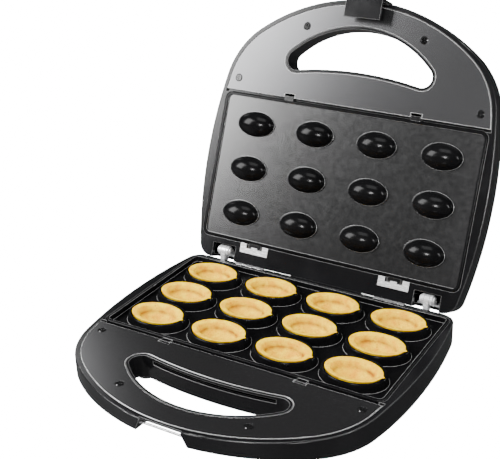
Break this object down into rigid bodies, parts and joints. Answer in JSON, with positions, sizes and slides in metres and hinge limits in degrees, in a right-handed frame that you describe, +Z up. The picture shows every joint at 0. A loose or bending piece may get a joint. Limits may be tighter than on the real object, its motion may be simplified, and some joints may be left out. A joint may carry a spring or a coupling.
{
  "type": "walnut cookie maker",
  "caption": "Hinged electric iron with a lower plate of oval cups and an upper plate of bumps that bakes hollow half-walnut shells, with a handle hole in each half and a latch",
  "frame": {"origin": "on the table, at the middle of the open object's box", "axes": "X to the object's right as the user faces it, Y to the rear where the hinge is, Z up"},
  "size_m": [0.249, 0.3135, 0.2591],
  "materials": {
    "housing": "glossy black moulded plastic",
    "trim": "satin dark grey lacquered panel",
    "plate": "black non-stick coating on cast aluminium, fine speckle",
    "baked": "baked golden shortcrust",
    "chromed": "bright nickel-plated steel",
    "steel": "bare steel",
    "black_screw": "black oxide screw",
    "heater": "heat-darkened steel sheath",
    "reflector": "bright aluminised sheet",
    "ceramic": "white ceramic body",
    "rubber": "black rubber",
    "gland": "black nylon",
    "block": "natural nylon",
    "lens": "tinted clear plastic",
    "lamp": "neon glass",
    "brass": "plain brass"
  },
  "bodies": {
    "base": {"base_shell": "housing", "base_trim": "trim", "base_trim_screws": "black_screw", "lower_plate": "plate", "baked_shells": "baked", "lower_plate_clips": "steel", "lower_heater": "heater", "lower_reflector": "reflector", "lower_thermostat": "ceramic", "thermal_fuse": "steel", "terminal_block": "block", "terminal_screws": "brass", "cord_gland": "gland", "feet": "rubber", "base_hinge_brackets": "chromed", "base_hinge_screws": "chromed", "hinge_pins": "chromed", "catch_bar": "steel"},
    "lid": {"lid_shell": "housing", "lid_trim": "trim", "lid_trim_screws": "black_screw", "upper_plate": "plate", "upper_plate_clips": "chromed", "upper_heater": "heater", "upper_reflector": "reflector", "upper_thermostat": "ceramic", "lid_hinge_brackets": "chromed", "lid_hinge_screws": "chromed", "latch_pin": "steel", "lamp_lenses": "lens", "indicator_lamps": "lamp"},
    "latch": {"latch": "housing"}
  },
  "joints": [
    {"name": "lid_hinge", "type": "hinge", "parent": "base", "child": "lid", "pos_m": [0, 0.0632, 0.0501], "axis": [1, 0, 0], "range_deg": [0, 113]},
    {"name": "latch_pivot", "type": "hinge", "parent": "lid", "child": "latch", "pos_m": [0, 0.15112, 0.24776], "axis": [1, 0, 0], "range_deg": [-40, 0]}
  ]
}
